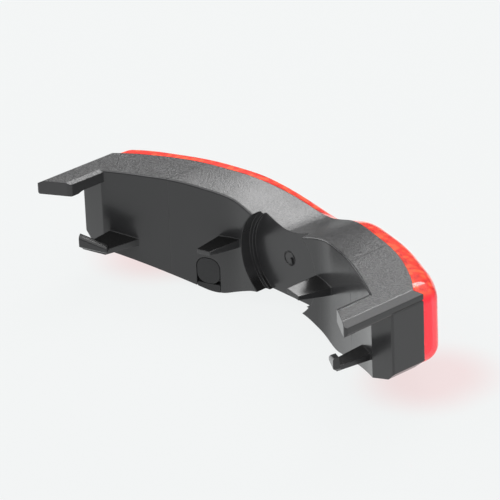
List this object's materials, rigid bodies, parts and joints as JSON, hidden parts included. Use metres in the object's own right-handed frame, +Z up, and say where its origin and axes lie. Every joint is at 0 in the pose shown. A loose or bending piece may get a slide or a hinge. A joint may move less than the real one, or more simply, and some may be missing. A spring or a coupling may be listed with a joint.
{
  "type": "helmet light",
  "caption": "Rear light for a cycling helmet: dark shell with a round recess for the fit dial, two arms and two hooks, and a clear red lens that wraps the far side.",
  "frame": {"origin": "middle of the round recess, on its flat floor", "axes": "+X along the length, -Y towards the head, +Z up"},
  "size_m": [0.1328, 0.0617, 0.0345],
  "materials": {
    "housing": "moulded, finely grained on top and satin behind",
    "lens": "clear red, polished",
    "gasket": "soft, matt",
    "cover_rubber": "soft, satin",
    "button_rubber": "soft, satin",
    "reflector": "bright vacuum metallised",
    "white_board": "white solder mask",
    "green_board": "green solder mask",
    "led": "moulded package",
    "dome": "clear silicone",
    "steel": "bright",
    "chip": "moulded epoxy",
    "component": "ceramic and resin",
    "black_plastic": "moulded",
    "light_pipe": "clear acrylic",
    "ribbon": "amber film",
    "cell": "foil pouch",
    "foam": "foam",
    "nickel": "bright strip",
    "lead": "insulated wire"
  },
  "bodies": {
    "root": {"rear_housing": "housing", "lens": "lens", "lens_gasket": "gasket", "cover_anchor": "cover_rubber", "button_seal": "gasket", "switch_body": "steel", "reflector_right": "reflector", "reflector_left": "reflector", "reflector_screws_right": "steel", "reflector_screws_left": "steel", "led_board_right": "white_board", "led_board_left": "white_board", "leds_right": "led", "leds_left": "led", "led_domes_right": "dome", "led_domes_left": "dome", "main_board": "green_board", "main_screws": "steel", "charge_chip": "chip", "board_components": "component", "status_led": "led", "light_pipe": "light_pipe", "flex_ribbon_right": "ribbon", "flex_ribbon_left": "ribbon", "battery_cell": "cell", "battery_pad": "foam", "battery_tabs": "nickel", "battery_leads": "lead", "usb_socket_shell": "steel", "usb_socket_tongue": "black_plastic", "charge_board": "green_board", "charge_ribbon": "ribbon"},
    "cover": {"port_cover": "cover_rubber"},
    "button": {"power_button": "button_rubber", "switch_plunger": "black_plastic"}
  },
  "joints": [
    {"name": "port_cover_hinge", "type": "hinge", "parent": "root", "child": "cover", "pos_m": [-0.02787, -0.00743, -0.0153], "axis": [0.9297, 0.3682, 0], "range_deg": [0, 105]},
    {"name": "button_slide", "type": "slide", "parent": "root", "child": "button", "axis": [0, -1, 0], "range_m": [0, 0.0004], "stiffness_N_per_m": 2000, "springref_m": -0.0006}
  ]
}
